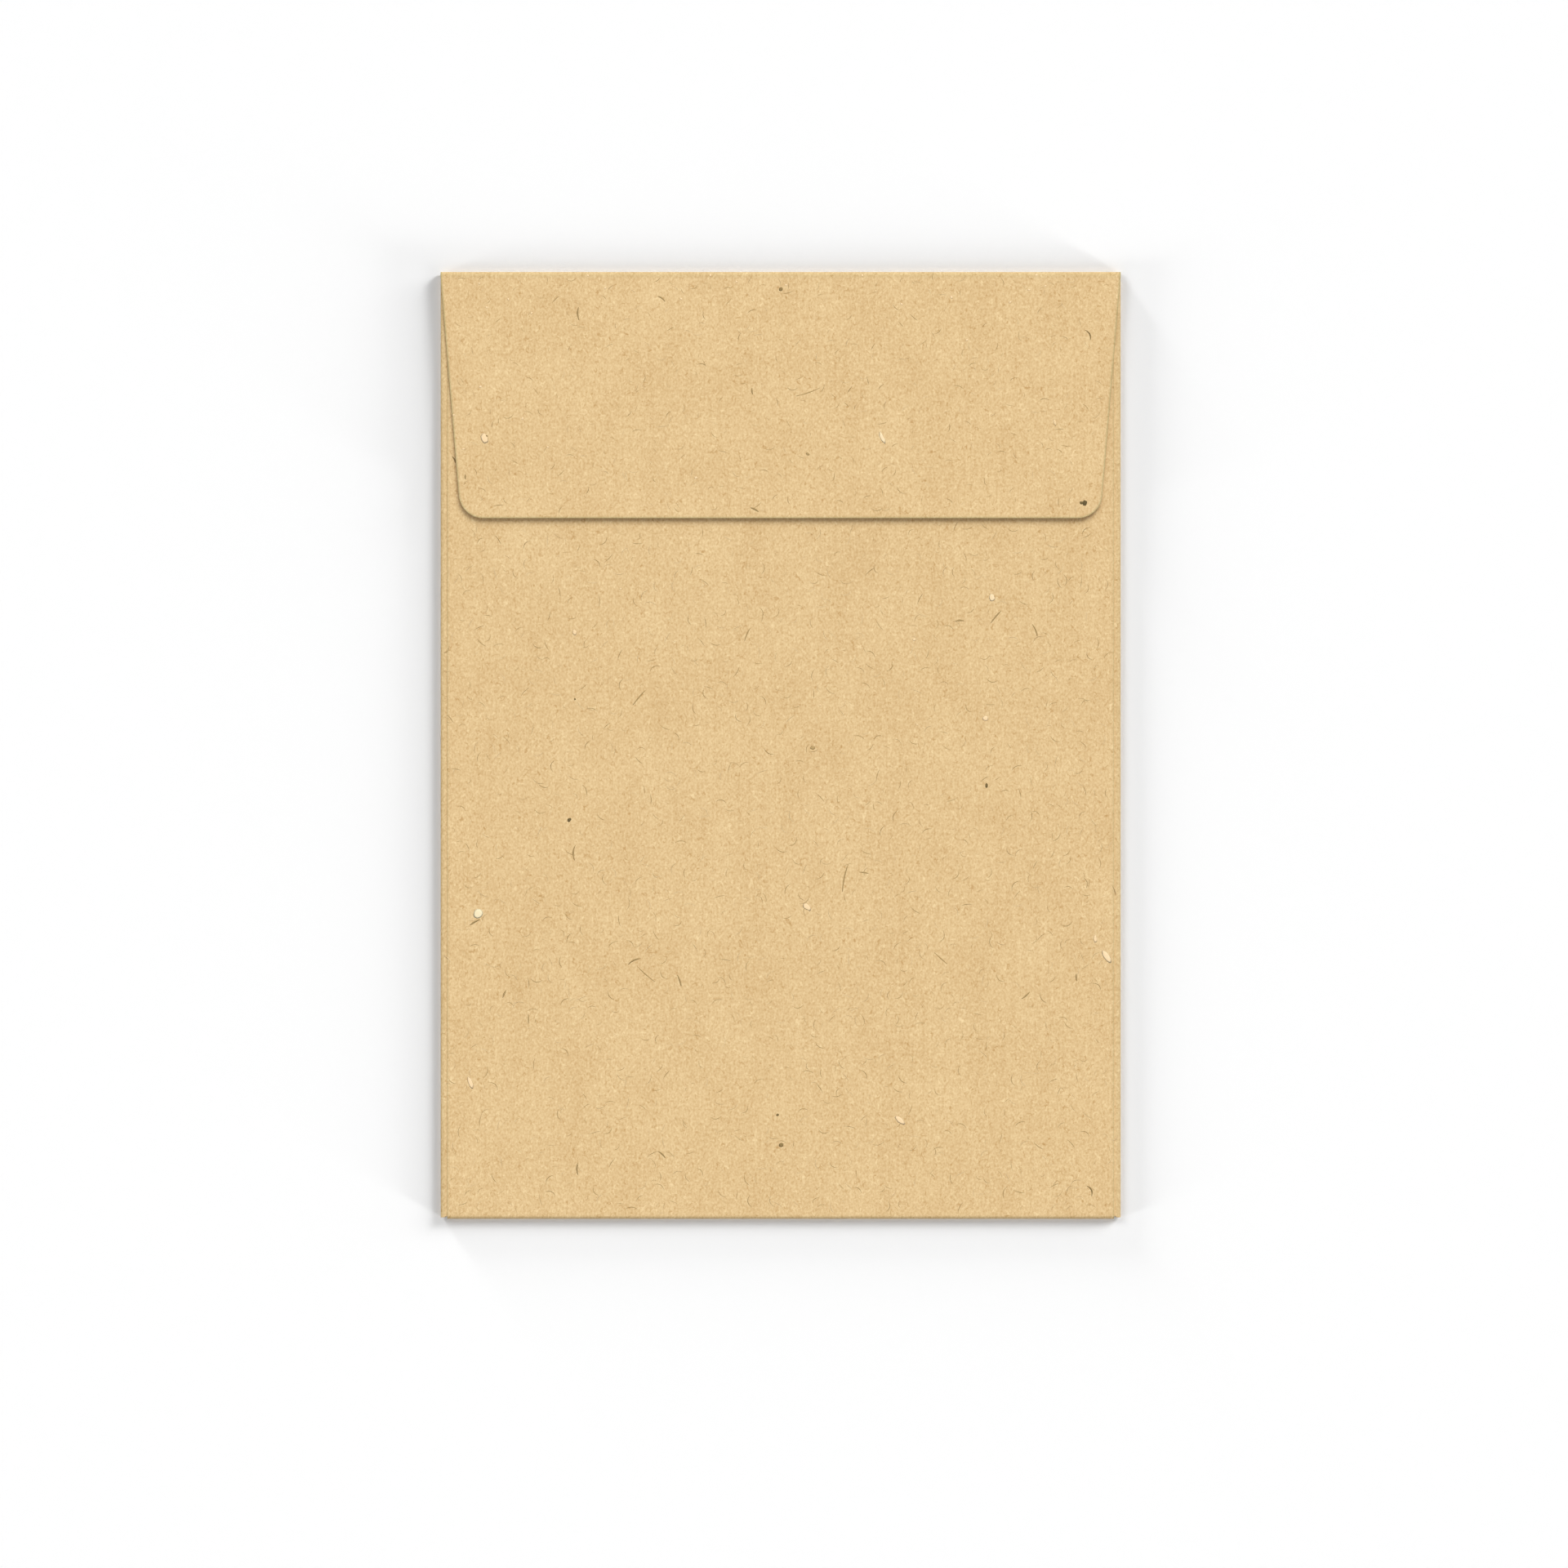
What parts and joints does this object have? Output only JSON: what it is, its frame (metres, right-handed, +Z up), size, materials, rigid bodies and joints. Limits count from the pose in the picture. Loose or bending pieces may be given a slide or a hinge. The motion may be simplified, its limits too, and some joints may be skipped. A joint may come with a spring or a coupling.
{
  "type": "paper envelope",
  "caption": "Upright kraft paper envelope with a straight seal flap folded over its back, glued side seams and rounded flap corners.",
  "frame": {"origin": "on the surface it rests on, under the middle of the envelope's outline", "axes": "+Y from the bottom fold to the top fold that carries the seal flap, +Z up from the address side to the back, +X to the right seen from above"},
  "size_m": [0.133, 0.1852, 0.0024],
  "materials": {
    "kraft_paper": "matte"
  },
  "bodies": {
    "root": {"envelope": "kraft_paper"}
  },
  "joints": []
}
